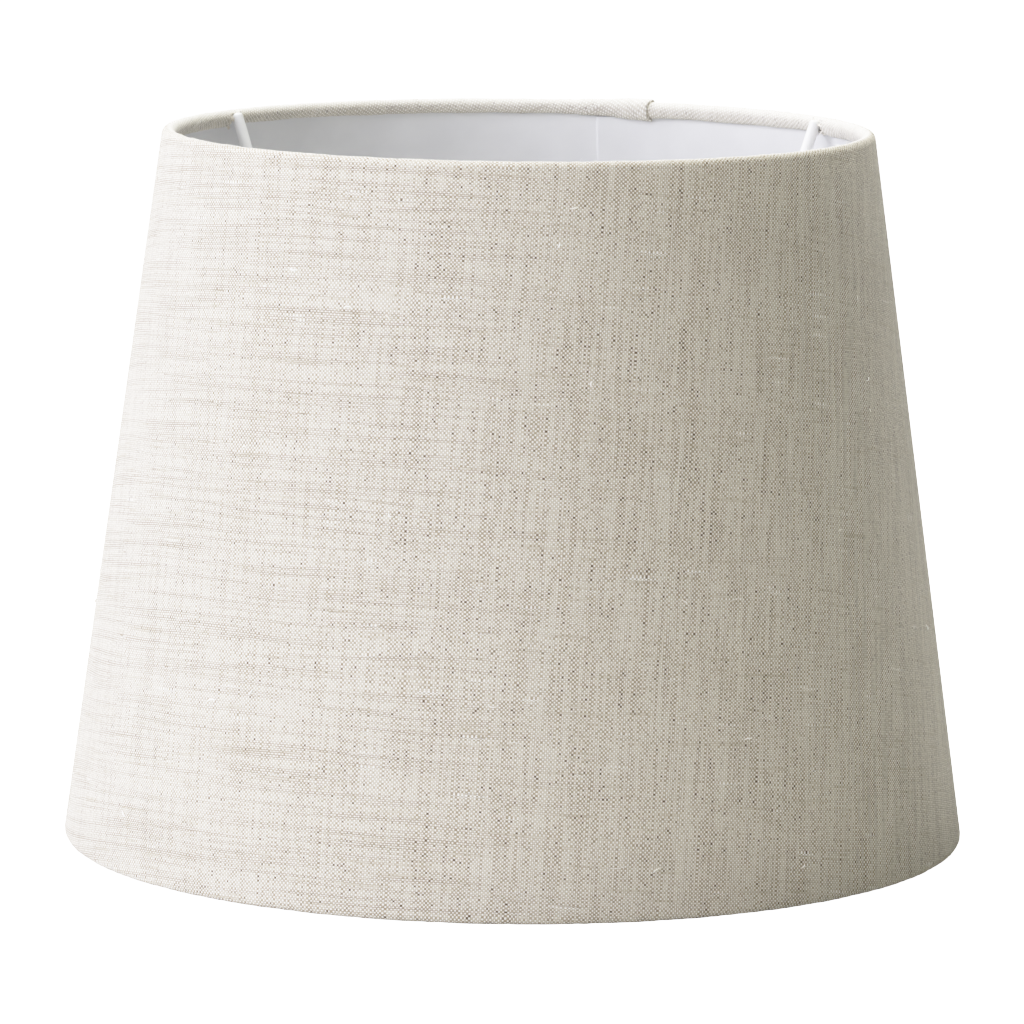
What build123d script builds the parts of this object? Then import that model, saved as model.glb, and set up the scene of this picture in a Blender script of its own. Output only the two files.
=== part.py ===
"""Tapered drum lamp shade: linen laminated on a plastic liner, rolled over two wire rings.

A three-armed wire carrier hangs from the top ring and holds a recessed lampholder ring.
Millimetres, +Z up. The shade stands on its bottom hem, centred on Z, and its front is -Y.
Azimuths are the usual polar angles, counted from +X towards +Y.
"""
from build123d import *
import os
from math import atan2, cos, degrees, radians, sin, tan

# Overall sizes of the finished shade. The two radii are those of the outer wall line,
# run out to the shade's top and to its bottom.
shade_height = 197.0
top_outer_radius = 98.0
bottom_outer_radius = 125.3

# Sheet and wire stock
fabric_thickness = 0.5
liner_thickness = 0.35
tape_thickness = 0.15
ring_wire_diameter = 2.6
arm_wire_diameter = 3.2

# Rolled hems: the cloth goes round the ring's wire and is tucked back under it. The
# bottom hem is pressed flat where the shade stands on it.
tuck_angle = 110.0
hem_flat_depth = 0.15

# Lap joint of the liner, behind the shade, between the hems
lap_start_azimuth = 66.5
lap_end_azimuth = 76.0
lap_end_clearance = 1.0
butt_gap = 0.3
jog_width = 0.5
tape_angle = 6.0
tape_setback_angle = 1.0

# Carrier: three bent wire arms, welded inside the top ring and outside the lampholder ring
arm_azimuths = {"arm_front": -92.0, "arm_rear_right": 27.25, "arm_rear_left": 148.0}
arm_lean = 20.0
arm_top_below_crest = 1.0
arm_end_rounding = 1.0
arm_bend_radius = 8.0
weld_bite = 0.8

# Slits that open the top hem round the arms' ends
slit_side_clearance = 0.5
slit_back_clearance = 0.1
slit_end_clearance = 0.4
slit_depth = 6.0
slit_length = 12.0

# Lampholder ring, pressed from sheet
holder_bore_radius = 20.5
holder_outer_radius = 26.0
holder_depth = 38.0
holder_rim_height = 5.0
holder_sheet = 1.5
holder_outer_bend = 2.0
holder_inner_bend = 0.5

# Worked-out sizes
full_turn = 360.0
half_turn = 180.0
cut_overrun = 1.0
ring_wire_radius = ring_wire_diameter / 2
arm_wire_radius = arm_wire_diameter / 2
wall_tilt = atan2(bottom_outer_radius - top_outer_radius, shade_height)
roll_radius = (ring_wire_diameter + liner_thickness) / 2 + fabric_thickness
liner_outer_reach = roll_radius - fabric_thickness
liner_inner_reach = liner_outer_reach - liner_thickness
holder_top = shade_height - holder_depth
lean = radians(arm_lean)


def wall_radius(z):
    """Radius of the outer wall line at height z."""
    return bottom_outer_radius + (top_outer_radius - bottom_outer_radius) * z / shade_height


def roll_centre(z):
    """Centre, at height z, of a hem roll that is tangent to the outer wall line."""
    return Vector(wall_radius(z) - roll_radius / cos(wall_tilt), z)


def step_out(point, reach):
    """The point moved outwards, square to the wall, by reach."""
    return point + Vector(cos(wall_tilt), sin(wall_tilt)) * reach


def step_up(point, distance):
    """The point moved up along the slope of the wall."""
    return point + Vector(-sin(wall_tilt), cos(wall_tilt)) * distance


top_roll = roll_centre(shade_height - roll_radius)
bottom_roll = roll_centre(roll_radius - hem_flat_depth)
top_wire = step_out(top_roll, -liner_thickness / 2)
bottom_wire = step_out(bottom_roll, -liner_thickness / 2)
lap_foot = step_up(bottom_roll, roll_radius + lap_end_clearance)
lap_head = step_up(top_roll, -roll_radius - lap_end_clearance)


def turned(profile, azimuth=0.0, angle=full_turn):
    """Turn a profile drawn as (radius, height) about Z, from an azimuth through an angle."""
    return Rot(0, 0, azimuth) * revolve(Plane.XZ * profile, Axis.Z, angle)


def band(lower, upper, outer_reach, inner_reach):
    """Profile of a sheet that follows the wall from one point to another."""
    corners = [
        step_out(lower, outer_reach),
        step_out(upper, outer_reach),
        step_out(upper, inner_reach),
        step_out(lower, inner_reach),
    ]
    return make_face(Polyline(*corners, close=True))


def roll_arcs(centre, direction):
    """Outer and inner arc of the cloth round a ring's wire. Direction is 1 at the top."""
    first = degrees(wall_tilt)
    swept = direction * (half_turn + tuck_angle)
    outer = CenterArc(centre, roll_radius, first, swept)
    inner = CenterArc(centre, roll_radius - fabric_thickness, first, swept)
    return outer, inner


def cloth_profile():
    """Section of the cloth: the wall, with a hook round the wire at each end."""
    top_outer, top_inner = roll_arcs(top_roll, 1)
    foot_outer, foot_inner = roll_arcs(bottom_roll, -1)
    joins = [
        Line(foot_outer @ 0, top_outer @ 0),
        Line(top_outer @ 1, top_inner @ 1),
        Line(top_inner @ 0, foot_inner @ 0),
        Line(foot_inner @ 1, foot_outer @ 1),
    ]
    return make_face([top_outer, top_inner, foot_outer, foot_inner, *joins])


def make_fabric_cover():
    """One cloth: the outer wall with a rolled hem round each ring, slit round the arms."""
    below_floor = Pos(bottom_roll.X, -roll_radius) * Rectangle(4 * roll_radius, 2 * roll_radius)
    cover = turned(cloth_profile() - below_floor)
    for azimuth in arm_azimuths.values():
        cover -= Rot(0, 0, azimuth) * slit_block()
    return cover


def slit_block():
    """Block that opens the top hem round an arm's end. It leans as the arm does."""
    width = arm_wire_diameter + 2 * slit_side_clearance
    back = arm_wire_radius + slit_back_clearance
    along = Vector(sin(lean), cos(lean)) * (slit_end_clearance - slit_length / 2)
    inwards = Vector(-cos(lean), sin(lean)) * (slit_depth / 2 - back)
    centre = arm_top() + along + inwards
    block = Rot(0, arm_lean, 0) * Box(slit_depth, width, slit_length)
    return Pos(centre.X, 0, centre.Y) * block


def make_liner():
    """Plastic sheet inside the cloth. Its inner end steps in and laps over the outer end."""
    sheet = turned(band(bottom_roll, top_roll, liner_outer_reach, liner_inner_reach))
    degrees_per_millimetre = degrees(1 / top_outer_radius)
    foot = step_up(bottom_roll, -cut_overrun)
    head = step_up(top_roll, cut_overrun)
    gap = turned(band(foot, head, roll_radius, 0), lap_start_azimuth, butt_gap * degrees_per_millimetre)
    tab_outer = liner_inner_reach - tape_thickness
    tab_inner = tab_outer - liner_thickness
    jog_angle = jog_width * degrees_per_millimetre
    jog_start = lap_start_azimuth - jog_angle
    jog = turned(band(lap_foot, lap_head, liner_outer_reach, tab_inner), jog_start, jog_angle)
    tab = turned(band(lap_foot, lap_head, tab_outer, tab_inner), jog_start, lap_end_azimuth - jog_start)
    return sheet - gap + jog + tab


def make_seam_tape():
    """Double-sided tape between the two ends of the liner."""
    profile = band(lap_foot, lap_head, liner_inner_reach, liner_inner_reach - tape_thickness)
    return turned(profile, lap_end_azimuth - tape_setback_angle - tape_angle, tape_angle)


def make_ring(wire_centre):
    """Wire ring, butt-welded into a closed hoop."""
    return turned(Pos(wire_centre.X, wire_centre.Y) * Circle(ring_wire_radius))


def arm_top():
    """Centre of the arm's upper end, beside the top ring, as (radius, height)."""
    reach = ring_wire_radius + arm_wire_radius - weld_bite
    beside_ring = top_wire + Vector(-cos(lean), sin(lean)) * reach
    rise = shade_height - arm_top_below_crest - beside_ring.Y
    return beside_ring + Vector(tan(lean), 1) * rise


def arm_path():
    """Centre line of an arm: down and inwards, then level to the lampholder ring."""
    start = arm_top()
    level = holder_top - holder_rim_height / 2
    corner = Vector(start.X - (start.Y - level) * tan(lean), level)
    end = Vector(holder_outer_radius - weld_bite, level)
    return Plane.XZ * FilletPolyline(start, corner, end, radius=arm_bend_radius)


def make_arm(azimuth):
    """Bent wire arm, coped where it meets the top ring and the lampholder ring."""
    path = arm_path()
    section = Plane(origin=path @ 0, z_dir=path % 0) * Circle(arm_wire_radius)
    wire = sweep(section, path=path)
    wire = fillet(wire.edges().group_by(Axis.Z)[-1], arm_end_rounding)
    inside_rim = Cylinder(holder_outer_radius, 2 * shade_height)
    return Rot(0, 0, azimuth) * (wire - make_ring(top_wire) - inside_rim)


def make_lampholder_ring():
    """Pressed ring: a flat seat with a round hole, and a rim turned down."""
    foot = holder_top - holder_rim_height
    rim_inner = holder_outer_radius - holder_sheet
    seat_under = holder_top - holder_sheet
    corners = [
        (holder_bore_radius, holder_top),
        (holder_outer_radius, holder_top),
        (holder_outer_radius, foot),
        (rim_inner, foot),
        (rim_inner, seat_under),
        (holder_bore_radius, seat_under),
    ]
    profile = make_face(Polyline(*corners, close=True))
    for corner, bend in ((corners[1], holder_outer_bend), (corners[4], holder_inner_bend)):
        profile = fillet(profile.vertices().sort_by_distance(corner)[0], bend)
    return turned(profile)


def write(name, solid):
    """Write one piece, labelled with its node name."""
    solid.label = name
    export_step(solid, f"parts/{name}.step")


os.makedirs("parts", exist_ok=True)
write("fabric_cover", make_fabric_cover())
write("liner", make_liner())
write("seam_tape", make_seam_tape())
write("top_ring", make_ring(top_wire))
write("bottom_ring", make_ring(bottom_wire))
for arm_name, arm_azimuth in arm_azimuths.items():
    write(arm_name, make_arm(arm_azimuth))
write("lampholder_ring", make_lampholder_ring())
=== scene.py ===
"""Tapered drum lamp shade in natural linen over a white liner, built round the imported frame.

Metres, +Z up, front -Y, as the frame has it. Azimuths are polar angles in degrees, counted
from +X towards +Y. The cloth and the liner are replaced with detailed sheets, and stray
fibres, frayed threads and weld beads are added. The wire rings, the arms, the lampholder
ring and the tape keep the frame's meshes and get new materials.
"""
import math
import random

import bpy
import numpy as np
from mathutils import Matrix, Vector


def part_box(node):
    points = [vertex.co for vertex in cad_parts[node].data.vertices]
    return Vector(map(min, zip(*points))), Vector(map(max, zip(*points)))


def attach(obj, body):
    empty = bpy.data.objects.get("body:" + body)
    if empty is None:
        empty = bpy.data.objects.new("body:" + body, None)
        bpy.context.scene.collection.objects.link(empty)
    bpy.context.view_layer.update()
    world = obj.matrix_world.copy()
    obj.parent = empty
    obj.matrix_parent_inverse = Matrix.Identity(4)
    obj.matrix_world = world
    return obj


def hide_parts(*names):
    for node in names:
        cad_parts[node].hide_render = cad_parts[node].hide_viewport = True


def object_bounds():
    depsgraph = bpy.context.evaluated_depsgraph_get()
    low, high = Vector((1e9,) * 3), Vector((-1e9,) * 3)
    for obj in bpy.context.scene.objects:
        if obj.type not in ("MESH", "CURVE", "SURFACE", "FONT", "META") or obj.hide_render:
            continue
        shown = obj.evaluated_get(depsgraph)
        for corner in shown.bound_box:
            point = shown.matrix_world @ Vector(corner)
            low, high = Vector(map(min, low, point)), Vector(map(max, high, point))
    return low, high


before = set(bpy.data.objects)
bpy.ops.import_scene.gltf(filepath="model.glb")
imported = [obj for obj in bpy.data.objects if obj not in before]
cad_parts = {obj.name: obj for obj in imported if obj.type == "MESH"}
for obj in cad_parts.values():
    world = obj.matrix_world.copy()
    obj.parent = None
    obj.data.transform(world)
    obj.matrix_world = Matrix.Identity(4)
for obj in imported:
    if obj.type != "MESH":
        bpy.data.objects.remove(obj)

cad_low, cad_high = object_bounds()

MM = 0.001

# Sheet stock, as in the CAD
CLOTH = 0.5 * MM
LINER = 0.35 * MM
TAPE = 0.15 * MM

# Lap joint behind the shade. The liner's outer end lies at LAP_START, and its inner end
# shows at LAP_END. The cloth's inner end lies at LAP_END too, under its outer end.
LAP_START = 66.5
LAP_END = 76.7

# Weave: distance between threads, and where round the shade the grain is upright
THREAD_PITCH = 0.55 * MM
GRAIN_AZIMUTH = -112.0

ARM_NODES = ("arm_front", "arm_rear_left", "arm_rear_right")
WIRE_NODES = ("top_ring", "bottom_ring", *ARM_NODES, "lampholder_ring")


# ---------------------------------------------------------------- section of the shade

# Points of the section are (radius, height). A roll is the path of the cloth's middle round
# a ring's wire: the names with "roll" are its centres and its radius.

def ring_wire(node):
    """Centre (radius, height) and wire radius of a ring node."""
    low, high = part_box(node)
    wire_radius = (high[2] - low[2]) / 2
    return np.array([high[0] - wire_radius, (low[2] + high[2]) / 2]), wire_radius


top_wire, WIRE_RADIUS = ring_wire("top_ring")
bottom_wire, _ = ring_wire("bottom_ring")
TILT = math.atan2(bottom_wire[0] - top_wire[0], top_wire[1] - bottom_wire[1])
OUT = np.array([math.cos(TILT), math.sin(TILT)])
UP = np.array([-math.sin(TILT), math.cos(TILT)])
top_roll = top_wire + OUT * LINER / 2
bottom_roll = bottom_wire + OUT * LINER / 2
ROLL_RADIUS = WIRE_RADIUS + LINER / 2 + CLOTH / 2
WALL_LENGTH = float(np.linalg.norm(top_roll - bottom_roll))
LINER_REACH = ROLL_RADIUS - CLOTH / 2 - LINER / 2
FOOT_SLANT = float((bottom_roll + OUT * ROLL_RADIUS)[0] / math.sin(TILT))


def smooth(x):
    """Smooth step from 0 to 1."""
    x = np.clip(x, 0, 1)
    return x * x * (3 - 2 * x)


def ramp(x, start, end):
    """Smooth step from 0 at start to 1 at end. The end may lie below the start."""
    return smooth((x - start) / (end - start))


def wobble(x, seed, harmonics):
    """Smooth periodic noise of about -1 to 1 round the shade. x is in degrees."""
    source = random.Random(seed)
    total = np.zeros_like(np.asarray(x, float))
    for harmonic in harmonics:
        phase = source.uniform(0, math.tau)
        total = total + source.uniform(0.5, 1) * np.sin(np.radians(x) * harmonic + phase)
    return total / len(harmonics) ** 0.5


def around(azimuth, other):
    """Signed difference of two azimuths, in degrees, from -180 to 180."""
    return (np.asarray(azimuth) - other + 180) % 360 - 180


def arm_azimuth(node):
    """Azimuth of an arm's upper end, from its highest vertices."""
    points = np.array([v.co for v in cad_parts[node].data.vertices])
    tip = points[points[:, 2] > points[:, 2].max() - MM].mean(axis=0)
    return math.degrees(math.atan2(tip[1], tip[0]))


arm_azimuths = {node: arm_azimuth(node) for node in ARM_NODES}


# ---------------------------------------------------------------- sheets with thickness

SHARP_ANGLE = math.radians(50)


def grid_normals(points):
    """Unit normals of a grid of points, by central differences."""
    along_rows = np.gradient(points, axis=0)
    along_columns = np.gradient(points, axis=1)
    normals = np.cross(along_columns, along_rows)
    length = np.linalg.norm(normals, axis=2, keepdims=True)
    return normals / np.maximum(length, 1e-12)


def boundary_quads(active, skin_size):
    """Quads that join the two skins along the edge of the active cells."""
    rows, columns = active.shape
    stride = columns + 1
    padded = np.zeros((rows + 2, columns + 2), bool)
    padded[1:-1, 1:-1] = active
    quads = []
    for r, c in zip(*np.nonzero(active)):
        corner = r * stride + c
        right, below = corner + 1, corner + stride
        sides = (
            (padded[r, c + 1], corner, right),
            (padded[r + 2, c + 1], below + 1, below),
            (padded[r + 1, c], below, corner),
            (padded[r + 1, c + 2], right, below + 1),
        )
        for neighbour, first, second in sides:
            if not neighbour:
                quads.append((second, first, first + skin_size, second + skin_size))
    return quads


def add_piece(name, mesh):
    """Smooth object with a new mesh."""
    mesh.polygons.foreach_set("use_smooth", np.ones(len(mesh.polygons), bool))
    mesh.update()
    piece = bpy.data.objects.new(name, mesh)
    bpy.context.collection.objects.link(piece)
    return piece


def thick_sheet(name, points, uv, thickness, active=None, floors=None):
    """Closed mesh of a sheet, from a grid of points on its middle and a UV for each.

    floors holds the lowest height of the outer and of the inner skin in each column.
    """
    rows, columns = points.shape[:2]
    if active is None:
        active = np.ones((rows - 1, columns - 1), bool)
    half = grid_normals(points) * np.reshape(thickness, (1, -1, 1)) / 2
    skins = np.stack([points + half, points - half])
    if floors is not None:
        skins[..., 2] = np.maximum(skins[..., 2], floors[:, None, :])
    skins = skins.reshape(-1, 3)
    skin_size = rows * columns
    r, c = np.nonzero(active)
    corner = r * columns + c
    outer = np.stack([corner, corner + 1, corner + columns + 1, corner + columns], axis=1)
    inner = outer[:, ::-1] + skin_size
    faces = [*outer.tolist(), *inner.tolist(), *boundary_quads(active, skin_size)]
    used = np.unique(np.array(faces))
    renumber = np.full(len(skins), -1)
    renumber[used] = np.arange(len(used))
    faces = renumber[np.array(faces)]
    mesh = bpy.data.meshes.new(name)
    mesh.from_pydata(skins[used].tolist(), [], faces.tolist())
    flat_uv = np.concatenate([uv.reshape(-1, 2)] * 2)[used]
    layer = mesh.uv_layers.new(name="flat_pattern")
    loops = np.empty(len(mesh.loops), int)
    mesh.loops.foreach_get("vertex_index", loops)
    layer.data.foreach_set("uv", flat_uv[loops].ravel())
    piece = add_piece(name, mesh)
    mesh.set_sharp_from_angle(angle=SHARP_ANGLE)
    return piece


def turn_profile(profile, azimuth, outward, lift, shift=0.0):
    """Grid of points: profile (radius, height) per row and column, moved outward by lift
    and turned to each column's azimuth, plus a shift in metres along the circumference."""
    moved = profile + outward * lift[..., None]
    radius = moved[..., 0]
    angle = np.radians(azimuth)[None, :] + shift / radius
    return np.stack([radius * np.cos(angle), radius * np.sin(angle), moved[..., 1]], axis=2)


# ---------------------------------------------------------------- cloth

CLOTH_COLUMNS = 1020
HEM_ROWS = 17
FOOT_ROWS = 13
WALL_ROWS = 9

# How far the cloth rolls round the wires, in degrees. At the lap it is raised, and it is
# tucked less far. The sag is how much longer the roll's inner half is than a half circle.
TUCK_ANGLE = 290.0
LAP_TUCK_ANGLE = 262.0
FOOT_SAG = 1.1
FOOT_SAG_WOBBLE = 0.08
HEM_SAG_WOBBLE = 0.06
HEM_SAGS = (
    (-180, 1.55), (-150, 1.5), (-122, 1.4), (-92, 1.5), (-40, 1.5), (0, 1.6),
    (24, 1.75), (28.5, 1.35), (50, 1.5), (64, 1.45), (66.6, 1.65), (74, 1.1),
    (90, 1.15), (120, 1.2), (147, 1.15), (149, 1.5), (170, 1.6),
)

# Lap of the cloth, with its outer end folded in at FOLD_AZIMUTH
FOLD_AZIMUTH = 66.6
PRESSED_CLOTH = 0.42 * MM
FOLD_ROOM = 0.03 * MM
FOLD_TURN_IN = 8 * MM
FOLD_STEPS = 8
FOLD_BOW = 0.9 * MM
BOW_ANGLE = 9.0

# Degrees before an end at which the cloth starts and finishes a change: it gets thinner, it
# steps up over its own inner end, and it steps up over the part turned in
THINNING = (8.0, 2.0)
STEP_OVER_END = (5.0, 0.5)
STEP_OVER_FOLD = (8.0, 5.0)

# Layers pressed flat under the lap's foot
FOOT_PLY = 0.13 * MM
FOOT_PLY_PITCH = 0.16 * MM
FOOT_RAMP = 1.5

# Slits round the arms. They start past the crest, and their two sides gape over a range of
# angles of the roll, each by its own amount
SLIT_HALF_WIDTH = 1.75 * MM
SLIT_START_ANGLE = 140.0
SLIT_GAPES = (0.5 * MM, 0.3 * MM)
GAPE_ANGLES = (126.875, 308.125)
GAPE_REACH = 2.5 * MM

# Unevenness of glued cloth
HEM_PUCKER = 0.05 * MM
HEM_LUMP = 0.06 * MM
HEM_BLEND = 2 * MM
WALL_RIPPLE = 0.05 * MM


def snap_to_slits(azimuth):
    """Move the nearest column to each side of each slit, so that slits have clean edges."""
    first, last = azimuth[0], azimuth[-1]
    half_angle = math.degrees(SLIT_HALF_WIDTH / top_wire[0])
    for centre in arm_azimuths.values():
        for edge in (centre - half_angle, centre + half_angle):
            for value in (edge - 360, edge):
                if last < value < first:
                    azimuth[np.argmin(np.abs(azimuth - value))] = value


def foot_floors(azimuth, turned):
    """Lowest height of the outer and of the inner skin in each column. Under the lap's foot
    the layers are pressed flat, one above another: the outer cloth, the part turned in
    behind its fold, and the cloth's inner end on top."""
    covered = 2 * FOOT_PLY_PITCH * ramp(azimuth, FOLD_AZIMUTH - FOOT_RAMP, FOLD_AZIMUTH)
    outer_turn = (FOOT_PLY_PITCH + FOOT_PLY) * turned
    inner_turn = FOOT_PLY + (FOOT_PLY_PITCH - FOOT_PLY) * turned
    outer_floor = np.concatenate([covered, outer_turn])
    inner_floor = np.concatenate([covered + FOOT_PLY, inner_turn])
    return cad_low[2] + np.stack([outer_floor, inner_floor])


def cloth_columns():
    """The cloth's columns from its inner end, round the shade, to its folded outer end.

    Returns azimuth, shift along the circumference, lift off the liner, thickness, the
    azimuth at which each column lies in the flat pattern, and the floors of both skins.
    """
    last = FOLD_AZIMUTH - 360
    lap_end = LAP_END - 360
    azimuth = np.linspace(LAP_END, last, CLOTH_COLUMNS)
    snap_to_slits(azimuth)
    pressed = ramp(azimuth, LAP_END - THINNING[0], LAP_END - THINNING[1])
    pressed += ramp(azimuth, lap_end + THINNING[0], lap_end + THINNING[1])
    thickness = CLOTH + (PRESSED_CLOTH - CLOTH) * pressed
    layer = PRESSED_CLOTH + FOLD_ROOM
    over_end = ramp(azimuth, lap_end + STEP_OVER_END[0], lap_end + STEP_OVER_END[1])
    over_fold = ramp(azimuth, last + STEP_OVER_FOLD[0], last + STEP_OVER_FOLD[1])
    lift = layer * (over_end + over_fold) - (CLOTH - thickness) / 2

    # The outer end turns back on itself round half a circle, and then lies flat
    turn = np.linspace(0, math.pi, FOLD_STEPS + 1)[1:]
    bend = layer / 2
    back = np.linspace(0, FOLD_TURN_IN, FOLD_STEPS + 1)[1:]
    turn_lift = lift[-1] - bend + bend * np.cos(turn)
    back_lift = np.full(FOLD_STEPS, lift[-1] - layer)
    past_fold = np.concatenate([bend * turn, bend * math.pi + back])
    turned = np.concatenate([(1 - np.cos(turn)) / 2, np.ones(FOLD_STEPS)])
    floors = foot_floors(azimuth, turned)
    shift = np.concatenate([np.zeros(CLOTH_COLUMNS), -bend * np.sin(turn), back])
    lift = np.concatenate([lift, turn_lift, back_lift])
    flat = np.concatenate([azimuth, last - np.degrees(past_fold / top_wire[0])])
    azimuth = np.concatenate([azimuth, np.full(2 * FOLD_STEPS, last)])
    thickness = np.concatenate([thickness, np.full(2 * FOLD_STEPS, PRESSED_CLOTH)])
    return azimuth, shift, lift, thickness, flat, floors


def hem_sag(azimuth):
    """How much longer the top hem's inner half is than a half circle, round the shade."""
    knots, sags = zip(*HEM_SAGS)
    even = np.interp(around(azimuth, 0), knots, sags, period=360)
    return even + HEM_SAG_WOBBLE * wobble(azimuth, 5, (7, 11, 17, 29, 41))


def rolled(centre, beta, sag, side):
    """Point of the hem's roll at angle beta, 0 at the wall and 90 at the crest."""
    beta = np.radians(beta)
    rise = np.sin(beta)
    rise = np.where(rise < 0, rise * sag, rise) * side
    along = ROLL_RADIUS * np.cos(beta)
    return centre + OUT * along[..., None] + UP * (ROLL_RADIUS * rise)[..., None]


def rolled_outward(beta, side):
    """Direction away from the wire at angle beta of the roll."""
    beta = np.radians(beta)
    return OUT * np.cos(beta)[..., None] + UP * (side * np.sin(beta))[..., None]


def cloth_section(azimuth, lift):
    """The cloth's middle for each row and column, its outward direction, and its distance
    up the flat pattern from the foot of the wall."""
    raised = np.clip(lift / PRESSED_CLOTH, 0, 1)
    tuck = TUCK_ANGLE + (LAP_TUCK_ANGLE - TUCK_ANGLE) * raised
    share = np.linspace(0, 1, HEM_ROWS)[:, None]
    top_beta = tuck * (1 - share)
    foot_share = np.linspace(0, 1, FOOT_ROWS)[:, None]
    foot_beta = tuck * foot_share
    top = rolled(top_roll, top_beta, hem_sag(azimuth), 1)
    foot_sag = FOOT_SAG + FOOT_SAG_WOBBLE * wobble(azimuth, 9, (5, 9, 23, 31))
    foot = rolled(bottom_roll, foot_beta, foot_sag, -1)
    down = np.linspace(0, 1, WALL_ROWS + 2)[1:-1, None, None]
    wall = top[-1:] * (1 - down) + foot[:1] * down
    level = np.ones_like(azimuth)
    outward = np.concatenate([
        rolled_outward(top_beta, 1),
        np.broadcast_to(OUT, wall.shape),
        rolled_outward(foot_beta, -1),
    ])
    height = np.concatenate([
        WALL_LENGTH + ROLL_RADIUS * np.radians(top_beta),
        WALL_LENGTH * (1 - down[..., 0]) * level,
        -ROLL_RADIUS * np.radians(foot_beta),
    ])
    return np.concatenate([top, wall, foot]), outward, height


def flat_pattern(azimuth, height):
    """Coordinates in the flat cut of a cone, with the grain upright at GRAIN_AZIMUTH."""
    slant = FOOT_SLANT - height
    angle = math.sin(TILT) * np.radians(azimuth - GRAIN_AZIMUTH)[None, :]
    return np.stack([slant * np.sin(angle), -slant * np.cos(angle)], axis=2)


def relief(azimuth, height):
    """Small unevenness of glued cloth, square to its surface: puckers on the hems, and a
    slow ripple over the wall."""
    in_hem = ramp(height, WALL_LENGTH, WALL_LENGTH + HEM_BLEND) + ramp(height, 0, -HEM_BLEND)
    pucker = HEM_PUCKER * wobble(azimuth, 21, (97, 131, 173, 211))
    lump = HEM_LUMP * wobble(azimuth, 22, (19, 37, 53))
    ripple = WALL_RIPPLE * wobble(azimuth, 23, (2, 3, 5))
    return in_hem * (pucker + lump)[None, :] + (1 - in_hem) * ripple[None, :]


def slit_mask(azimuth, rows, columns):
    """Cells of the cloth that stay: the top hem's inner half is cut round each arm."""
    active = np.ones((rows - 1, columns - 1), bool)
    middle = (azimuth[1:] + azimuth[:-1]) / 2
    opened = int((1 - SLIT_START_ANGLE / TUCK_ANGLE) * (HEM_ROWS - 1))
    for centre in arm_azimuths.values():
        reach = np.abs(np.radians(around(middle, centre))) * top_wire[0]
        active[:opened, reach < SLIT_HALF_WIDTH] = False
    return active


def open_slits(azimuth, height):
    """Shift of the cloth beside each slit, which gapes towards the hem's lower edge."""
    shift = np.zeros((len(height), len(azimuth)))
    rolled_by = np.degrees((height - WALL_LENGTH) / ROLL_RADIUS)
    past_crest = ramp(rolled_by, *GAPE_ANGLES)
    for centre in arm_azimuths.values():
        side = np.radians(around(azimuth, centre)) * top_wire[0]
        near = np.exp(-((np.abs(side) - SLIT_HALF_WIDTH) / GAPE_REACH) ** 2)
        gape = np.where(side < 0, *SLIT_GAPES)
        shift += np.sign(side) * gape * near * past_crest
    return shift


def fold_bow(azimuth, height):
    """Shift that bows the folded end where it goes over the top hem."""
    last = FOLD_AZIMUTH - 360
    near = ramp(azimuth, last + BOW_ANGLE, last)
    past_crest = (height - WALL_LENGTH) / ROLL_RADIUS - math.pi / 2
    return FOLD_BOW * np.sin(np.clip(past_crest, 0, math.pi)) * near[None, :]


def make_cloth():
    """The linen: outer wall, rolled hems, slits round the arms and the folded lap behind."""
    azimuth, shift, lift, thickness, flat_azimuth, floors = cloth_columns()
    section, outward, height = cloth_section(azimuth, lift)
    raised = lift[None, :] + relief(azimuth, height)
    shift = shift[None, :] + open_slits(azimuth, height) + fold_bow(azimuth, height)
    points = turn_profile(section, azimuth, outward, raised, shift)
    uv = flat_pattern(flat_azimuth, height)
    active = slit_mask(azimuth, *points.shape[:2])
    cloth = thick_sheet("linen_cover", points, uv, thickness, active, floors)
    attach(cloth, "root")
    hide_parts("fabric_cover")
    return cloth


# ---------------------------------------------------------------- liner

LINER_COLUMNS = 720
LINER_ROWS = 36
LINER_RIPPLE = 0.05 * MM

# Lap of the liner. The angles are in degrees; the lip is the very edge of its inner end.
LINER_END_GAP = 0.2
LAP_CLEARANCE = 1 * MM
LAP_STEP_AZIMUTH = LAP_START + 360
LAP_STEP_ANGLE = 3.0
LAP_SPRING = 0.55 * MM
LIP_ANGLE = 0.42
LIP_STEPS = 6


def liner_azimuths():
    """The liner's columns, from its outer end to its inner end. They lie closer together in
    the lip, and one lies on the step."""
    first, last = LAP_START + LINER_END_GAP, LAP_END + 360
    body = np.linspace(first, last - LIP_ANGLE, LINER_COLUMNS - LIP_STEPS)
    lip = np.linspace(last - LIP_ANGLE, last, LIP_STEPS + 1)[1:]
    azimuth = np.append(body, lip)
    azimuth[np.argmin(np.abs(azimuth - LAP_STEP_AZIMUTH))] = LAP_STEP_AZIMUTH
    return azimuth


def liner_shares():
    """Share of the wall's height at each row, from the top down. Two rows at each end lie
    in the hem."""
    inset = (ROLL_RADIUS + CLOTH / 2) / WALL_LENGTH
    free = inset + LAP_CLEARANCE / WALL_LENGTH
    middle = np.linspace(free, 1 - free, LINER_ROWS - 4)
    return np.concatenate([[0, inset], middle, [1 - inset, 1]])[::-1]


def lap_depth(azimuth):
    """How far the liner's inner end stands inside its outer end. Its last stretch is springy,
    so it stands a little off the curve, with its very edge turned back to the wall."""
    last = azimuth[-1]
    step = (LINER + TAPE) * ramp(azimuth, LAP_STEP_AZIMUTH - LAP_STEP_ANGLE, LAP_STEP_AZIMUTH)
    past = np.clip((azimuth - LAP_STEP_AZIMUTH) / (last - LAP_STEP_AZIMUTH), 0, 1)
    lip = ramp(azimuth, last - LIP_ANGLE, last)
    return step + LAP_SPRING * past ** 2 * (1 - lip)


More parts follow.
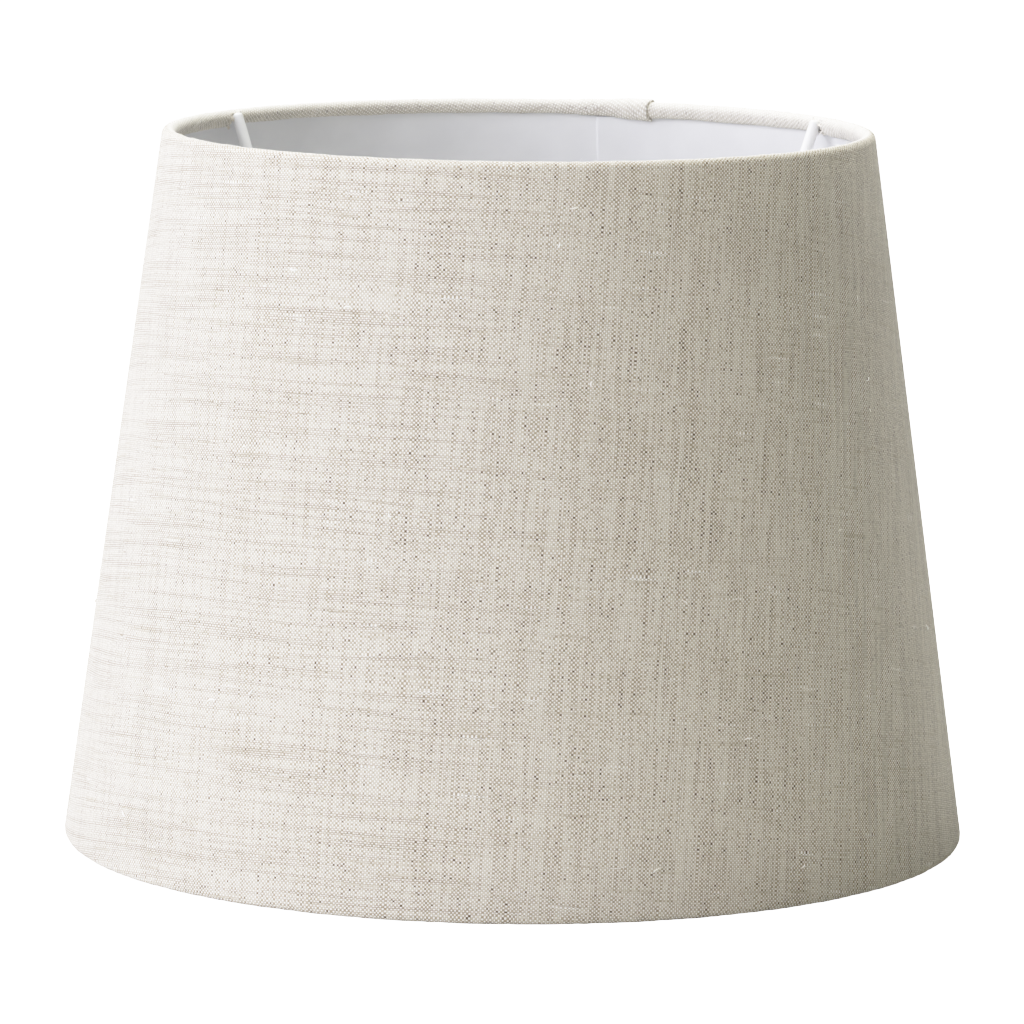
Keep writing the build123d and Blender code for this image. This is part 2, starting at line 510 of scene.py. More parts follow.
def make_liner():
    """White plastic sheet, lapped behind the shade. The lap stops short of the hems."""
    azimuth, share = liner_azimuths(), liner_shares()
    foot = bottom_roll + OUT * LINER_REACH
    head = top_roll + OUT * LINER_REACH
    section = foot + (head - foot) * share[:, None, None]
    section = np.broadcast_to(section, (LINER_ROWS, LINER_COLUMNS, 2))
    between_hems = np.zeros(LINER_ROWS)
    between_hems[2:-2] = 1
    bulge = np.sqrt(np.sin(np.pi * share))
    ripple = LINER_RIPPLE * np.abs(wobble(azimuth, 31, (2, 3, 4, 7)))
    lift = -np.outer(between_hems, lap_depth(azimuth)) - np.outer(bulge, ripple)
    points = turn_profile(section, azimuth, OUT, lift)
    uv = flat_pattern(azimuth, share[:, None] * WALL_LENGTH)
    active = np.ones((LINER_ROWS - 1, LINER_COLUMNS - 1), bool)
    in_lap = azimuth[:-1] >= LAP_STEP_AZIMUTH
    active[:2, in_lap] = False
    active[-2:, in_lap] = False
    liner = thick_sheet("liner_sheet", points, uv, LINER, active)
    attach(liner, "root")
    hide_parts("liner")
    return liner


# ---------------------------------------------------------------- loose fibres, fray, welds

# Tubes have their first side square to a direction that no fibre runs along
TUBE_SIDES = 6
TUBE_STEPS = 9
ANY_DIRECTION = (0.31, 0.52, 0.79)

# Hairs: how far they turn along their length, in radians, and how much their tips thin
HAIR_CURL = 3
HAIR_TAPER = 0.6

# Frayed threads: where on the hem's roll they stand, in degrees, and how many stand on each
# side of a slit. The sizes are in millimetres; reach and rise are shares of the length.
FRAYED_TUCK = (125.0, 255.0)
FRAY_COUNTS = {-1: 10, 1: 22}
FRAY_SETBACK = (0.5, 1.1)
FRAY_LENGTH = (0.8, 2.0)
FRAY_RADIUS = (0.14, 0.26)
FRAY_DRIFT = 0.5
FRAY_REACH = (0.2, 1.0)
FRAY_RISE = (0.2, 0.7)
FRAY_ROOT_DEPTH = 0.1 * MM

# Weld beads round the arms
ARM_RADIUS = 1.6 * MM
BEAD_RADIUS = 0.75 * MM
BEAD_UNEVENNESS = 0.12
BEAD_FLATTENING = 0.8
BEAD_STEPS = 32
BEAD_SIDES = 12
FIRST_BEAD_SEED = 60


def to_space(section, azimuth):
    """Turn (radius, height) pairs to their azimuths."""
    angle = np.radians(azimuth)
    radius, height = section[..., 0], section[..., 1]
    return np.stack([radius * np.cos(angle), radius * np.sin(angle), height], axis=-1)


def cloth_surface(azimuth, climb):
    """Points of the cloth's outer skin and the directions square to it, from the distance
    up the flat pattern."""
    centre = bottom_roll + UP * np.clip(climb, 0, WALL_LENGTH)[..., None]
    over = np.degrees(np.maximum(climb - WALL_LENGTH, 0) / ROLL_RADIUS)
    under = np.degrees(np.maximum(-climb, 0) / ROLL_RADIUS)
    below = (climb < 0)[..., None]
    foot = rolled(centre, under, 1.0, -1)
    wall_and_top = rolled(centre, over, hem_sag(azimuth), 1)
    middle = np.where(below, foot, wall_and_top)
    facing = np.where(below, rolled_outward(under, -1), rolled_outward(over, 1))
    return to_space(middle + facing * CLOTH / 2, azimuth), to_space(facing, azimuth)


def tube(path, radius):
    """Vertices and faces of a closed round tube along a path."""
    tangent = np.gradient(path, axis=0)
    tangent /= np.linalg.norm(tangent, axis=1, keepdims=True)
    side = np.cross(tangent, ANY_DIRECTION)
    side /= np.linalg.norm(side, axis=1, keepdims=True)
    other = np.cross(tangent, side)
    angle = np.linspace(0, math.tau, TUBE_SIDES, endpoint=False)[None, :, None]
    ring = side[:, None] * np.cos(angle) + other[:, None] * np.sin(angle)
    vertices = path[:, None] + ring * np.reshape(radius, (-1, 1, 1))
    faces = [tuple(range(TUBE_SIDES))[::-1]]
    for k in range(len(path) - 1):
        for i in range(TUBE_SIDES):
            near = k * TUBE_SIDES + i
            far = k * TUBE_SIDES + (i + 1) % TUBE_SIDES
            faces.append((near, far, far + TUBE_SIDES, near + TUBE_SIDES))
    last = (len(path) - 1) * TUBE_SIDES
    faces.append(tuple(range(last, last + TUBE_SIDES)))
    return vertices.reshape(-1, 3), faces


def joined(name, parts):
    """One piece from many (vertices, faces) parts. It rides on the shade's only body."""
    vertices, faces, start = [], [], 0
    for part_vertices, part_faces in parts:
        vertices.extend(part_vertices.tolist())
        faces.extend(tuple(start + v for v in face) for face in part_faces)
        start += len(part_vertices)
    mesh = bpy.data.meshes.new(name)
    mesh.from_pydata(vertices, [], faces)
    piece = add_piece(name, mesh)
    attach(piece, "root")
    return piece


def fibre(source, azimuth, climb, length, stand, radius):
    """One hair that curls over the cloth and lifts off it by up to stand. Half of the hairs
    have a free end, and the others lie as a loop."""
    share = np.linspace(0, 1, TUBE_STEPS)
    turn = source.uniform(0, math.tau) + source.uniform(-HAIR_CURL, HAIR_CURL) * share
    step = length / TUBE_STEPS
    along, up = np.cumsum(np.cos(turn)) * step, np.cumsum(np.sin(turn)) * step
    free = source.random() < 0.5
    rise = stand * (share ** 1.5 if free else np.sin(math.pi * share))
    place, facing = cloth_surface(azimuth + np.degrees(along / top_wire[0]), climb + up)
    taper = 1 - HAIR_TAPER * np.abs(2 * share - 1) ** 3
    return tube(place + facing * rise[:, None], radius * taper)


def scattered(source, count, climbs, lengths, stands, radii):
    """Fibres all round the shade, with every size drawn from its range in millimetres."""
    hairs = []
    for _ in range(count):
        azimuth = source.uniform(0, 360)
        sizes = [source.uniform(*limits) * MM for limits in (climbs, lengths, stands, radii)]
        hairs.append(fibre(source, azimuth, *sizes))
    return hairs


def make_fibres():
    """Hairs that stand off the wall and off the top hem's crest, and short thick nubs."""
    source = random.Random(77)
    top = WALL_LENGTH / MM
    wall = (6, top - 6)
    crest = (top + 1.2, top + 4.2)
    hair = (0.022, 0.040)
    hairs = scattered(source, 150, wall, lengths=(2, 6), stands=(0.05, 0.4), radii=hair)
    fuzz = scattered(source, 150, crest, lengths=(1.2, 3.5), stands=(0.1, 0.8), radii=hair)
    nubs = scattered(source, 42, wall, lengths=(1.2, 2.8), stands=(0.1, 0.3), radii=(0.12, 0.24))
    return joined("stray_fibres", hairs + fuzz + nubs)


def thread_end(source, centre, side):
    """A cut thread that sticks out of a slit's edge, over the arm's side. The ranges of its
    sizes are in millimetres."""
    tuck = source.uniform(*FRAYED_TUCK)
    climb = WALL_LENGTH + ROLL_RADIUS * math.radians(tuck)
    start = side * (SLIT_HALF_WIDTH + source.uniform(*FRAY_SETBACK) * MM)
    length = source.uniform(*FRAY_LENGTH) * MM
    share = np.linspace(0, 1, TUBE_STEPS)
    along = start - side * length * share * source.uniform(*FRAY_REACH)
    drift = source.uniform(-FRAY_DRIFT, FRAY_DRIFT) * MM * share
    azimuth = centre + np.degrees(along / top_wire[0])
    place, facing = cloth_surface(azimuth, climb + drift)
    rise = length * source.uniform(*FRAY_RISE) * share ** 1.3 - FRAY_ROOT_DEPTH
    radius = source.uniform(*FRAY_RADIUS) * MM * (1 - 0.5 * share ** 2)
    return tube(place + facing * rise[:, None], radius)


def make_fray():
    """Frayed thread ends on both sides of each slit in the top hem."""
    source = random.Random(41)
    ends = []
    for centre in arm_azimuths.values():
        for side, count in FRAY_COUNTS.items():
            ends.extend(thread_end(source, centre, side) for _ in range(count))
    return joined("slit_fray", ends)


def ring_faces(rows, columns):
    """Faces of a closed ring, whose vertices run round its section within each row."""
    faces = []
    for r in range(rows):
        near, far = r * columns, (r + 1) % rows * columns
        for c in range(columns):
            beside = (c + 1) % columns
            faces.append((near + c, far + c, far + beside, near + beside))
    return faces


def bead(centre, azimuth, seed):
    """A weld's bead: a closed, slightly uneven ring round a level arm."""
    round_arm = np.linspace(0, 360, BEAD_STEPS, endpoint=False)
    section = np.linspace(0, math.tau, BEAD_SIDES, endpoint=False)
    uneven = 1 + BEAD_UNEVENNESS * wobble(round_arm, seed, (2, 3, 5, 7))
    size = (BEAD_RADIUS * uneven)[:, None]
    reach = ARM_RADIUS + BEAD_FLATTENING * size * np.cos(section)
    out = size * np.sin(section)
    turn, heading = np.radians(round_arm)[:, None], math.radians(azimuth)
    radial = np.array([math.cos(heading), math.sin(heading), 0])
    level = np.array([-math.sin(heading), math.cos(heading), 0])
    points = centre + radial * out[..., None] + level * (reach * np.cos(turn))[..., None]
    points[..., 2] += reach * np.sin(turn)
    return points.reshape(-1, 3), ring_faces(BEAD_STEPS, BEAD_SIDES)


def make_weld_beads():
    """A bead where each arm meets the lampholder ring's rim."""
    low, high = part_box("lampholder_ring")
    rim_radius, middle = high[0], (low[2] + high[2]) / 2
    beads = []
    for number, azimuth in enumerate(arm_azimuths.values()):
        angle = math.radians(azimuth)
        centre = np.array([rim_radius * math.cos(angle), rim_radius * math.sin(angle), middle])
        beads.append(bead(centre, azimuth, FIRST_BEAD_SEED + number))
    return joined("weld_beads", beads)


# ---------------------------------------------------------------- materials

# Colour sockets of Blender's Mix node
MIX_FIRST = 6
MIX_SECOND = 7
MIX_COLOR = 2


class Nodes:
    """Short way to write a shader: each call adds a node and returns its output."""

    def __init__(self, name):
        self.material = bpy.data.materials.new(name)
        self.material.use_nodes = True
        self.tree = self.material.node_tree
        self.shader = self.tree.nodes["Principled BSDF"]

    def feed(self, socket, value):
        """Link an output, or set a number or colour, on an input socket."""
        if isinstance(value, bpy.types.NodeSocket):
            self.tree.links.new(value, socket)
        else:
            socket.default_value = value

    def math(self, operation, *values):
        """Math node on numbers or outputs."""
        node = self.tree.nodes.new("ShaderNodeMath")
        node.operation = operation
        for socket, value in zip(node.inputs, values):
            self.feed(socket, value)
        return node.outputs[0]

    def plus(self, first, second):
        """Sum."""
        return self.math("ADD", first, second)

    def minus(self, first, second):
        """Difference."""
        return self.math("SUBTRACT", first, second)

    def times(self, first, second):
        """Product."""
        return self.math("MULTIPLY", first, second)

    def remap(self, value, low, high, to_low=0.0, to_high=1.0):
        """Smooth clamped change of range."""
        node = self.tree.nodes.new("ShaderNodeMapRange")
        node.interpolation_type = "SMOOTHSTEP"
        for index, number in enumerate((value, low, high, to_low, to_high)):
            self.feed(node.inputs[index], number)
        return node.outputs[0]

    def point(self, x, y, z=0.0):
        """Vector from three numbers or outputs."""
        node = self.tree.nodes.new("ShaderNodeCombineXYZ")
        for socket, value in zip(node.inputs, (x, y, z)):
            self.feed(socket, value)
        return node.outputs[0]

    def noise(self, vector, scale=1.0, detail=0.0):
        """Smooth noise from 0 to 1, mostly near 0.5."""
        node = self.tree.nodes.new("ShaderNodeTexNoise")
        self.feed(node.inputs["Vector"], vector)
        node.inputs["Scale"].default_value = scale
        node.inputs["Detail"].default_value = detail
        return node.outputs["Fac"]

    def random(self, vector):
        """Random number from 0 to 1 for each whole-number point."""
        node = self.tree.nodes.new("ShaderNodeTexWhiteNoise")
        self.feed(node.inputs["Vector"], vector)
        return node.outputs["Value"]

    def mix(self, factor, first, second):
        """Colour mix."""
        node = self.tree.nodes.new("ShaderNodeMix")
        node.data_type = "RGBA"
        self.feed(node.inputs["Factor"], factor)
        self.feed(node.inputs[MIX_FIRST], first)
        self.feed(node.inputs[MIX_SECOND], second)
        return node.outputs[MIX_COLOR]

    def uv(self, scale):
        """The two flat-pattern coordinates, in units of scale metres."""
        node = self.tree.nodes.new("ShaderNodeUVMap")
        node.uv_map = "flat_pattern"
        split = self.tree.nodes.new("ShaderNodeSeparateXYZ")
        self.tree.links.new(node.outputs[0], split.inputs[0])
        return [self.math("DIVIDE", split.outputs[k], scale) for k in (0, 1)]

    def place(self):
        """Position on the object, in metres."""
        return self.tree.nodes.new("ShaderNodeTexCoord").outputs["Object"]

    def bump(self, height, distance, strength=1.0):
        """Bump of the shader's normal. Distance is the relief of height 0 to 1, in metres."""
        node = self.tree.nodes.new("ShaderNodeBump")
        node.inputs["Strength"].default_value = strength
        node.inputs["Distance"].default_value = distance
        self.feed(node.inputs["Height"], height)
        self.tree.links.new(node.outputs[0], self.shader.inputs["Normal"])

    def finish(self, color, roughness, settings=()):
        """Set the shader's colour, roughness and any other named inputs."""
        self.feed(self.shader.inputs["Base Color"], color)
        self.feed(self.shader.inputs["Roughness"], roughness)
        for name, value in dict(settings).items():
            self.shader.inputs[name].default_value = value
        return self.material


# Colours of the linen, and of loose flax
WEFT_WHITE = (0.97, 0.955, 0.92, 1)
# Edge of a weft thread: the yarn's natural colour, and painted shade on its rounded side
WEFT_EDGE_AND_SHADE = (0.49, 0.442, 0.35, 1)
WARP_PALE = (0.52, 0.465, 0.36, 1)
WARP_BROWN = (0.30, 0.248, 0.17, 1)
# Colour in the gaps between threads: the warp seen below them, and painted shade in the gaps
GAP_WARP_AND_SHADE = (0.20, 0.157, 0.105, 1)
# Painted light on the hems: a painted highlight over the wires and painted light on their inner
# side
HEM_PAINTED_LIGHT_COLOR = (0.86, 0.83, 0.765, 1)
BARK = (0.12, 0.085, 0.055, 1)
FLAX_PALE = (0.93, 0.91, 0.87, 1)
FLAX_BROWN = (0.76, 0.70, 0.59, 1)

LINEN_ROUGHNESS = 0.92
FLAX_ROUGHNESS = 0.85

# Colours of the liner, the powder coat and the tape
LINER_DARK = (0.71, 0.71, 0.715, 1)
LINER_PALE = (0.76, 0.76, 0.765, 1)
COAT_DARK = (0.82, 0.82, 0.815, 1)
COAT_PALE = (0.87, 0.87, 0.865, 1)
TAPE_DARK = (0.80, 0.79, 0.72, 1)
TAPE_PALE = (0.86, 0.85, 0.80, 1)

# Weave. A range holds the low and high value of a noise or a height that become 0 and 1, or
# that become the third and fourth number.
THREAD_WIDTH = 1.05
CROSSING_BLEND = 0.12
CROWN_HEIGHTS = (0.66, 0.97)
SLUB_RANGE = (0.74, 0.86)
SLUB_SHIFT = 0.7
SLUB_WHITENESS = 0.6
NATURAL_RANGE = (0.64, 0.80, 1.0, 0.3)
ROW_GAP_RANGE = (0.40, 0.66, 0.15, 0.85)
COLUMN_GAP_RANGE = (0.42, 0.68, 0.0, 0.85)
GAP_REACH = 0.40
GAP_BOTTOM = 0.12
GAP_DEPTH = 0.5
WARP_TONES = (0.30, 0.72)
BAND_CONTRAST = 0.30
SPECK_CONTRAST = 0.38
BARK_RANGE = (1.19, 1.34)
ROW_WAVER = 0.55
ROW_DRIFT = 4.0
COLUMN_WAVER = 0.9
WEAVE_RELIEF = 0.09 * MM
MIDDLE_NOISE = (0.3, 0.7)

# Across this stretch of the cloth, in threads, the weave changes from open rows to open columns,
# and its crowns get less white: towards the side away from the key light, painted shade darkens
# the columns' gaps and dulls the crowns.
OPEN_ZONE = (-10.0, 170.0)
OPEN_ROWS = (1.0, 0.45)
OPEN_COLUMNS_AND_SHADE = (0.35, 0.7)
SHADED_SIDE_CROWNS = (1.0, 0.78)

# Painted light on the hems, a painted highlight over their wires and painted light on their inner
# side: where it starts, is strongest and ends, in threads past the wall's ends
HEM_PALE_START = 1.9 * MM / THREAD_PITCH
HEM_CREST = ROLL_RADIUS * math.pi / 2 / THREAD_PITCH
HEM_PALE_END = 5.2 * MM / THREAD_PITCH
HEM_INNER_LOSS = 0.45
HEM_PAINTED_LIGHT_AMOUNT = 0.60
HEM_FLATNESS = 0.6


def thread_height(n, along, over, side):
    """Height of a thread: a round section across it, on a wave along it."""
    wave = n.times(n.math("COSINE", n.times(along, math.pi)), side)
    square = n.math("POWER", n.math("DIVIDE", n.times(over, 2.0), THREAD_WIDTH), 2.0)
    section = n.math("SQRT", n.math("MAXIMUM", n.minus(1.0, square), 0.0))
    return n.plus(n.times(wave, 0.5), n.times(section, 0.5))


def stretched(n, x, y, x_scale, y_scale, seed):
    """Noise with its own scale in each direction."""
    return n.noise(n.point(n.times(x, x_scale), n.times(y, y_scale), seed))


def thread_gap(n, over, strength):
    """Share of the gap beside a thread, over the thread's width. A strong gap is also wide."""
    start = n.minus(0.5, n.times(strength, GAP_REACH))
    full = n.minus(0.5, n.times(strength, GAP_BOTTOM))
    return n.times(n.remap(n.math("ABSOLUTE", over), start, full), strength)


def hem_painted_light(n, across, up):
    """Painted light on both hems: how much paler the cloth is painted, most of all where they go
    over their wires, as a painted highlight, and less on their inner side, as painted light
    there.
    """
    squares = n.plus(n.times(across, across), n.times(up, up))
    climb = n.minus(FOOT_SLANT / THREAD_PITCH, n.math("SQRT", squares))
    half_wall = WALL_LENGTH / 2 / THREAD_PITCH
    past_wall = n.minus(n.math("ABSOLUTE", n.minus(climb, half_wall)), half_wall)
    painted_hem_light = n.remap(past_wall, HEM_PALE_START, HEM_CREST)
    return n.minus(painted_hem_light, n.remap(past_wall, HEM_CREST, HEM_PALE_END, 0.0, HEM_INNER_LOSS))


def wandering(n, across, up, slub):
    """Column and row of the weave, in threads. Both waver, rows also drift slowly, and a
    slub shifts its row."""
    row = n.plus(up, n.times(slub, SLUB_SHIFT))
    row = n.plus(row, n.times(stretched(n, across, up, 0.04, 0.30, seed=1.0), ROW_WAVER))
    row = n.plus(row, n.times(stretched(n, across, up, 0.012, 0.03, seed=7.0), ROW_DRIFT))
    column = n.plus(across, n.times(stretched(n, across, up, 0.35, 0.03, seed=3.0), COLUMN_WAVER))
    return column, row


def weave_gap(n, across, up, cell, offset):
    """Share of the gap at each point. The weave has open rows on one side of the grain's middle,
    and open columns on the other, where the columns' gaps also carry painted shade on the side
    away from the key light."""
    row_gap = n.remap(stretched(n, across, cell[1], 0.013, 3.37, seed=29.0), *ROW_GAP_RANGE)
    row_gap = n.times(row_gap, n.remap(across, *OPEN_ZONE, *OPEN_ROWS))
    column_gap = n.remap(stretched(n, cell[0], up, 1.87, 0.02, seed=31.0), *COLUMN_GAP_RANGE)
    # Column gaps grow towards the side away from the key light: partly weave, partly painted
    # shade of light grazing the threads
    column_gap = n.times(column_gap, n.remap(across, *OPEN_ZONE, *OPEN_COLUMNS_AND_SHADE))
    by_row = thread_gap(n, offset[1], row_gap)
    by_column = thread_gap(n, offset[0], column_gap)
    return n.math("MAXIMUM", by_row, by_column)


def warp_color(n, across, up, cell):
    """Warp threads run from pale to brown along their length and across the cloth in bands,
    with a dark fleck of bark here and there."""
    tone = stretched(n, cell[0], up, 1.37, 0.025, seed=13.0)
    band = stretched(n, across, up, 0.09, 0.006, seed=17.0)
    speck = n.random(n.point(*cell, 1.0))
    tone = n.plus(tone, n.times(n.minus(band, 0.5), BAND_CONTRAST))
    tone = n.plus(tone, n.times(n.minus(speck, 0.5), SPECK_CONTRAST))
    color = n.mix(n.remap(tone, *WARP_TONES), WARP_PALE, WARP_BROWN)
    bark = n.plus(n.times(tone, 0.5), n.random(n.point(*cell, 2.0)))
    return n.mix(n.remap(bark, *BARK_RANGE), color, BARK)


def weft_color(n, across, cell, weft, slub):
    """Weft threads are white on their crowns and darker towards their edges, partly the yarn's
    natural colour and partly painted shade on their rounded sides; the odd one stays natural for
    a short way.
    """
    white = n.remap(stretched(n, across, cell[1], 0.04, 2.83, seed=11.0), *NATURAL_RANGE)
    # Crowns painted less white towards the side away from the key light: painted shade
    white = n.times(white, n.remap(across, *OPEN_ZONE, *SHADED_SIDE_CROWNS))
    crown = n.remap(weft, *CROWN_HEIGHTS)
    # Crowns white, edges darker: natural colour, and painted shade on the round thread
    color = n.mix(n.times(crown, white), WEFT_EDGE_AND_SHADE, WEFT_WHITE)
    return n.mix(n.times(slub, SLUB_WHITENESS), color, WEFT_WHITE)


def linen_material():
    """Plain weave of white weft over natural warp, with uneven threads, slubs and flecks."""
    n = Nodes("linen_weave")
    across, up = n.uv(THREAD_PITCH)
    slub = n.remap(stretched(n, across, up, 0.040, 0.40, seed=23.0), *SLUB_RANGE)
    threads = wandering(n, across, up, slub)
    cell = [n.math("FLOOR", value) for value in threads]
    offset = [n.minus(n.math("FRACT", value), 0.5) for value in threads]

    # Which thread is on top in each cell, and how high
    odd = n.math("FLOORED_MODULO", n.plus(*cell), 2.0)
    side = n.minus(1.0, n.times(odd, 2.0))
    weft = thread_height(n, offset[0], offset[1], side)
    warp = thread_height(n, offset[1], offset[0], n.times(side, -1.0))
    weft_on_top = n.remap(n.minus(weft, warp), -CROSSING_BLEND, CROSSING_BLEND)
    gap = weave_gap(n, across, up, cell, offset)
    painted_hem_light = hem_painted_light(n, across, up)

    warp_part = warp_color(n, across, up, cell)
    weft_part = weft_color(n, across, cell, weft, slub)
    color = n.mix(weft_on_top, warp_part, weft_part)
    # Gaps between threads painted dark: the warp below them, and painted shade
    color = n.mix(gap, color, GAP_WARP_AND_SHADE)
    # Hems painted paler: a painted highlight over the wires and painted light on their inner side
    color = n.mix(n.times(painted_hem_light, HEM_PAINTED_LIGHT_AMOUNT), color, HEM_PAINTED_LIGHT_COLOR)
    height = n.times(n.math("MAXIMUM", weft, warp), n.minus(1.0, n.times(gap, GAP_DEPTH)))
    height = n.times(height, n.minus(1.0, n.times(painted_hem_light, HEM_FLATNESS)))
    n.bump(height, WEAVE_RELIEF)
    return n.finish(color, LINEN_ROUGHNESS, {"Sheen Weight": 0.2, "Specular IOR Level": 0.15})


def fibre_material():
    """Loose flax: pale, and browner for a short way here and there."""
    n = Nodes("loose_linen")
    tone = n.remap(n.noise(n.place(), scale=300.0, detail=1.0), 0.35, 0.7)
    color = n.mix(tone, FLAX_PALE, FLAX_BROWN)
    return n.finish(color, FLAX_ROUGHNESS, {"Sheen Weight": 0.2, "Specular IOR Level": 0.2})


def liner_material():
    """White PVC sheet: satin, with a faint calender grain and slight mottling."""
    n = Nodes("liner_pvc")
    across, up = n.uv(MM)
    mottle = n.noise(n.point(across, up), scale=0.06, detail=3.0)
    color = n.mix(n.remap(mottle, *MIDDLE_NOISE), LINER_DARK, LINER_PALE)
    grain = n.noise(n.point(across, up), scale=2.2, detail=2.0)
    n.bump(grain, distance=0.02 * MM, strength=0.5)
    scuffs = n.noise(n.point(across, up), scale=0.4, detail=1.0)
    rough = n.remap(scuffs, *MIDDLE_NOISE, to_low=0.42, to_high=0.52)
    return n.finish(color, rough, {"Specular IOR Level": 0.45})


def powder_coat_material():
    """White powder coat on wire and pressed steel: fine orange peel, slightly uneven gloss."""
    n = Nodes("white_powder_coat")
    peel = n.noise(n.place(), scale=900.0, detail=2.0)
    tone = n.remap(n.noise(n.place(), scale=60.0, detail=2.0), *MIDDLE_NOISE)
    color = n.mix(tone, COAT_DARK, COAT_PALE)
    n.bump(peel, distance=0.03 * MM, strength=0.4)
    gloss = n.noise(n.place(), scale=240.0, detail=1.0)
    rough = n.remap(gloss, *MIDDLE_NOISE, to_low=0.30, to_high=0.42)
    return n.finish(color, rough)


def tape_material():
    """Double-sided tape film, slightly yellow and streaked."""
    n = Nodes("seam_tape_film")
    streak = n.noise(n.place(), scale=180.0, detail=3.0)
    color = n.mix(n.remap(streak, *MIDDLE_NOISE), TAPE_DARK, TAPE_PALE)
    n.bump(streak, distance=0.02 * MM, strength=0.3)
    rough = n.remap(streak, *MIDDLE_NOISE, to_low=0.3, to_high=0.45)
    return n.finish(color, rough)


def paint(piece, material):
    """Give a piece one material in all its slots."""
    piece.data.materials.clear()
    piece.data.materials.append(material)


def paint_node(node, material):
    """Give a CAD node's object a new material without touching its mesh."""
    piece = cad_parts[node]
    if not piece.material_slots:
        piece.data.materials.append(material)
    for holder in piece.material_slots:
        holder.link = "OBJECT"
        holder.material = material


# ---------------------------------------------------------------- stage

# Camera fitted to the outline in the photo: metres, degrees and millimetres of lens
CAMERA_DISTANCE = 1.7618
CAMERA_HEIGHT = 0.3561
CAMERA_PITCH = 8.584
CAMERA_ROLL = 0.511
CAMERA_LENS = 225.5
CAMERA_SHIFT = -0.0033

# Two floors, with their gaps below the shade's foot. The glow is also the world's.
FLOOR_REACH = 6.0
FLOOR_GAP = 0.02 * MM
BOUNCE_GAP = 0.5 * MM
FLOOR_COLOR = (0.8, 0.8, 0.8, 1)
BOUNCE_COLOR = (0.55, 0.55, 0.53, 1)
FLOOR_ROUGHNESS = 0.9
WHITE_GLOW = 3.2


def make_camera():
    """Long lens from the front, a little above the shade."""
    data = bpy.data.cameras.new("camera")
    data.sensor_width = 36
    data.lens = CAMERA_LENS
    data.shift_x = CAMERA_SHIFT
    camera = bpy.data.objects.new("camera", data)
    bpy.context.collection.objects.link(camera)
    tilt = Matrix.Rotation(math.radians(90 - CAMERA_PITCH), 4, "X")
    roll = Matrix.Rotation(math.radians(CAMERA_ROLL), 4, "Z")
    place = Matrix.Translation((0, -CAMERA_DISTANCE, CAMERA_HEIGHT))
    camera.matrix_world = place @ tilt @ roll
    bpy.context.scene.camera = camera


def make_plane(name, below, material):
    """Large level plane, a given distance below the shade's foot."""
    mesh = bpy.data.meshes.new(name)
    corners = [(-1, -1, 0), (1, -1, 0), (1, 1, 0), (-1, 1, 0)]
    corners = [tuple(FLOOR_REACH * number for number in corner) for corner in corners]
    mesh.from_pydata(corners, [], [(0, 1, 2, 3)])
    plane = bpy.data.objects.new(name, mesh)
    plane.location.z = cad_low[2] - below
    bpy.context.collection.objects.link(plane)
    paint(plane, material)
    return plane


def make_floor():
    """White floor that glows for the camera and doesn't light the shade, and below it a
    pale floor that the camera doesn't see and that bounces light."""
    glow = Nodes("floor_white")
    glow.shader.inputs["Emission Color"].default_value = (1, 1, 1, 1)
    glow.shader.inputs["Emission Strength"].default_value = WHITE_GLOW
    floor = make_plane("floor", FLOOR_GAP, glow.finish(FLOOR_COLOR, FLOOR_ROUGHNESS))
    floor.visible_diffuse = False
    floor.visible_glossy = False
    floor.visible_shadow = False
    matt = Nodes("floor_bounce_white")
    matt_white = matt.finish(BOUNCE_COLOR, FLOOR_ROUGHNESS)
    bounce = make_plane("floor_bounce", BOUNCE_GAP, matt_white)
    bounce.visible_camera = False


def make_softbox(name, azimuth, height, distance, width, tall, power, color):
    """Rectangular light, aimed at the middle of the shade and hidden from the camera."""
    data = bpy.data.lights.new(name, "AREA")
    data.shape = "RECTANGLE"
    data.size = width
    data.size_y = tall
    data.energy = power
    data.color = color
    light = bpy.data.objects.new(name, data)
    turn = math.radians(azimuth)
    place = Vector((distance * math.cos(turn), distance * math.sin(turn), height))
    target = Vector((0, 0, (cad_low[2] + cad_high[2]) / 2))
    aim = (target - place).to_track_quat("-Z", "Y").to_matrix().to_4x4()
    light.matrix_world = Matrix.Translation(place) @ aim
    light.visible_camera = False
    bpy.context.collection.objects.link(light)


KEY_COLOR = (0.985, 0.985, 1.15)
FILL_COLOR = (1.0, 1.005, 0.94)
WHITE = (1, 1, 1)

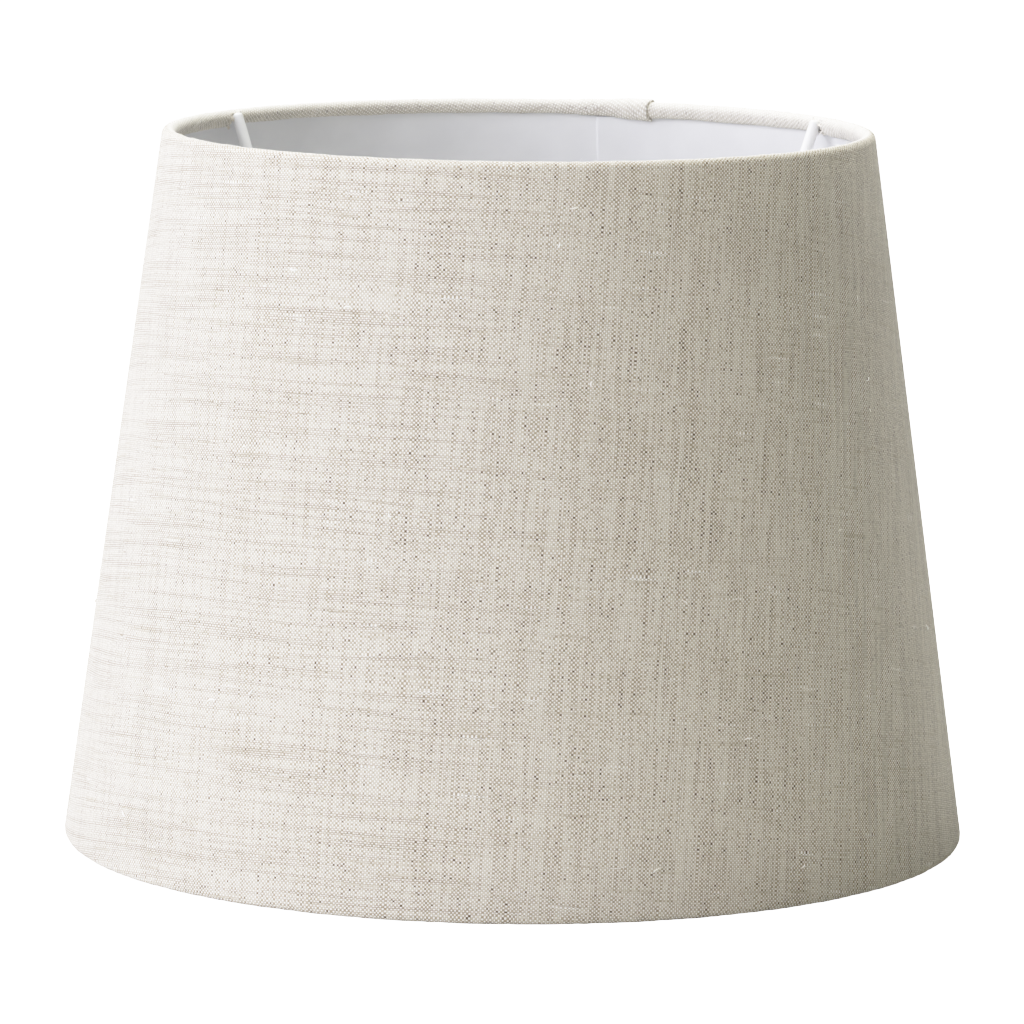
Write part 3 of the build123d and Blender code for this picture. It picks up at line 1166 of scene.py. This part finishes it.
# Name, azimuth, height, distance, the panel's width and height, power and colour
LIGHTS = (
    ("key", 190, 0.6, 1.7, 1.0, 1.4, 40, KEY_COLOR),
    ("key_front", 225, 0.6, 1.7, 1.0, 1.4, 24.5, KEY_COLOR),
    ("high_rear", 135, 1.3, 1.0, 0.9, 0.9, 26, WHITE),
    ("overhead", 90, 1.6, 0.1, 0.8, 0.8, 36, FILL_COLOR),
    ("rim_right", 65, 1.2, 1.4, 0.7, 0.7, 6, WHITE),
    ("fill", -95, 0.8, 1.9, 1.4, 1.4, 8.3, FILL_COLOR),
)


def make_lights():
    """Large key from the left, light from above and behind, and a weak fill."""
    for light in LIGHTS:
        make_softbox(*light)


def make_world():
    """White where the camera looks past the floor, and no light from it on the shade."""
    world = bpy.data.worlds.new("studio")
    world.use_nodes = True
    background = world.node_tree.nodes["Background"]
    background.inputs["Color"].default_value = (1, 1, 1, 1)
    background.inputs["Strength"].default_value = WHITE_GLOW
    bpy.context.scene.world = world
    visibility = world.cycles_visibility
    visibility.diffuse = False
    visibility.glossy = False
    visibility.transmission = False


# Tone curve: pairs of scene brightness and shown brightness
WHITE_LEVEL = 3.0
COMBINED_CURVE = 3
TONE_CURVE = (
    (0.35, 0.35),
    (0.50, 0.48),
    (0.70, 0.62),
    (0.90, 0.725),
    (1.10, 0.80),
    (1.40, 0.875),
    (1.80, 0.935),
    (2.30, 0.975),
)


def set_tone():
    """Tone response like a camera's: bright tones roll off to white at WHITE_LEVEL."""
    settings = bpy.context.scene.view_settings
    settings.view_transform = "Standard"
    settings.use_curve_mapping = True
    mapping = settings.curve_mapping
    mapping.white_level = (WHITE_LEVEL,) * 3
    points = mapping.curves[COMBINED_CURVE].points
    for light, shown in TONE_CURVE:
        points.new(light / WHITE_LEVEL, shown)
    mapping.update()


# ---------------------------------------------------------------- the scene

paint(make_cloth(), linen_material())
paint(make_liner(), liner_material())
loose_linen = fibre_material()
paint(make_fibres(), loose_linen)
paint(make_fray(), loose_linen)
wire_coat = powder_coat_material()
paint(make_weld_beads(), wire_coat)
for wire_node in WIRE_NODES:
    paint_node(wire_node, wire_coat)
paint_node("seam_tape", tape_material())
make_floor()
make_lights()
make_world()
make_camera()
set_tone()
